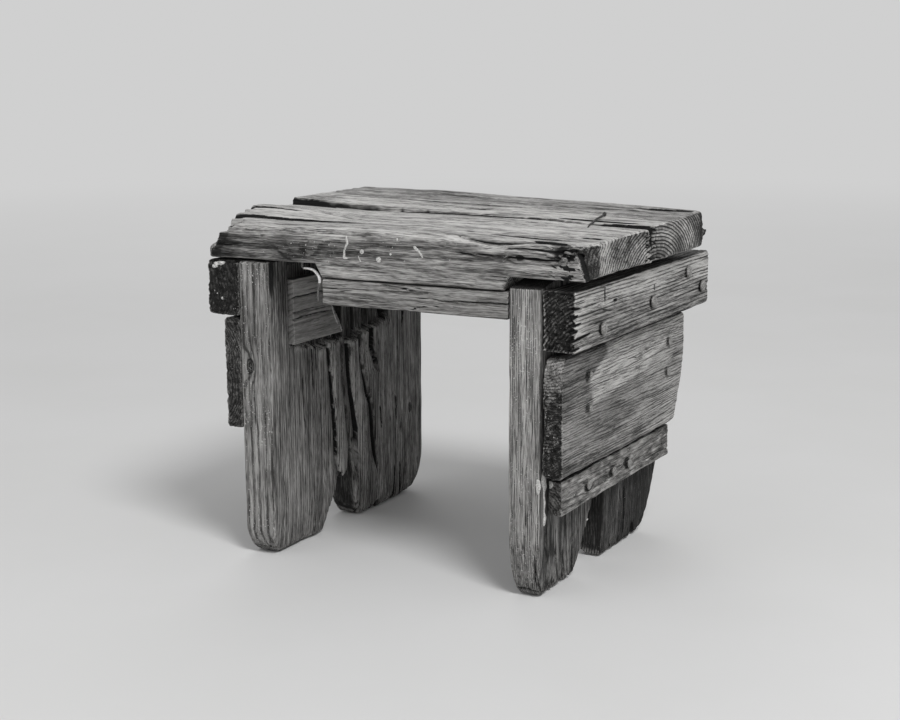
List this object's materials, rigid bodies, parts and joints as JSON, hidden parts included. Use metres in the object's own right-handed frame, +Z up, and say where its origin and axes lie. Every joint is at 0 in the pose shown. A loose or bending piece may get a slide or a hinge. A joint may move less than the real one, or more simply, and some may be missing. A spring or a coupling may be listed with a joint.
{
  "type": "stool",
  "caption": "Low rustic stool: a thick checked plank seat on two upright board legs with cut-out feet, with cleats and boards nailed across the legs' outsides.",
  "frame": {"origin": "on the floor, under the middle of the whole stool's outline", "axes": "+X along the seat from the left leg to the right leg, +Y from the front to the back, +Z up"},
  "size_m": [0.3494, 0.2888, 0.2896],
  "materials": {
    "seat_wood": "weathered, bare, silvery grey with open grain",
    "leg_wood": "weathered, bare, deeply split",
    "board_wood": "weathered, bare, stained dark at the end grain",
    "patch_wood": "dark, smooth-sawn, split along the grain",
    "rusty_iron": "rusted matte",
    "bright_iron": "bare, worn bright"
  },
  "bodies": {
    "root": {"seat_plank": "seat_wood", "left_leg": "leg_wood", "right_leg": "leg_wood", "front_apron": "seat_wood", "right_top_cleat": "board_wood", "left_top_cleat": "board_wood", "right_side_board": "board_wood", "left_side_board": "board_wood", "right_low_batten": "board_wood", "housed_patch": "patch_wood", "right_cleat_nail_1": "rusty_iron", "right_cleat_nail_2": "rusty_iron", "right_cleat_nail_3": "rusty_iron", "right_cleat_nail_4": "rusty_iron", "right_board_nail_1": "rusty_iron", "right_board_nail_2": "rusty_iron", "right_board_nail_3": "rusty_iron", "right_board_nail_4": "rusty_iron", "right_batten_nail_1": "rusty_iron", "right_batten_nail_2": "rusty_iron", "right_batten_nail_3": "rusty_iron", "left_cleat_nail_1": "rusty_iron", "left_cleat_nail_2": "rusty_iron", "left_cleat_nail_3": "rusty_iron", "left_board_nail_1": "rusty_iron", "left_board_nail_2": "rusty_iron", "left_board_nail_3": "rusty_iron", "left_board_nail_4": "rusty_iron", "seat_left_nail_1": "rusty_iron", "seat_left_nail_2": "rusty_iron", "seat_right_nail_1": "rusty_iron", "seat_right_nail_2": "rusty_iron", "apron_nail_1": "rusty_iron", "apron_nail_2": "rusty_iron", "hooked_nail": "bright_iron", "bent_over_nail": "rusty_iron"}
  },
  "joints": []
}
